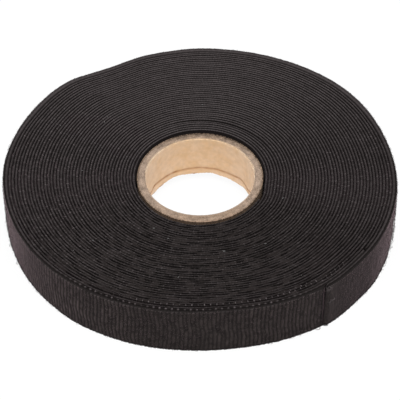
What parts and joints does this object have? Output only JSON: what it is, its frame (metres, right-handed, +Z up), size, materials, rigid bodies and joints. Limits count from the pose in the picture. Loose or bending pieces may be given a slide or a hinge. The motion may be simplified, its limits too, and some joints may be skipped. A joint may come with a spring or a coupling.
{
  "type": "hook and loop tape roll",
  "caption": "Roll of black woven hook and loop tape, wound flat on a short paperboard core that slides in its bore.",
  "frame": {"origin": "centre of the roll's outline on the surface that the roll lies on", "axes": "+Z up along the roll's axis; +X to the right across the widest diameter; -Y towards the viewer, where the outer end of the tape is at the lower right"},
  "size_m": [0.1402, 0.1334, 0.0204],
  "materials": {
    "woven_tape": "black woven nylon with a fuzzy, slightly shiny face",
    "kraft_liner": "smooth tan kraft paper",
    "core_board": "cut edge of grey-brown paperboard",
    "core_wrap": "dull tan paper"
  },
  "bodies": {
    "roll": {"tape_winding": "woven_tape"},
    "core": {"core_liner": "kraft_liner", "core_board": "core_board", "core_wrap": "core_wrap"}
  },
  "joints": [
    {"name": "core_slide", "type": "slide", "parent": "roll", "child": "core", "axis": [0, 0, 1], "range_m": [-0.0029, 0.012]}
  ]
}
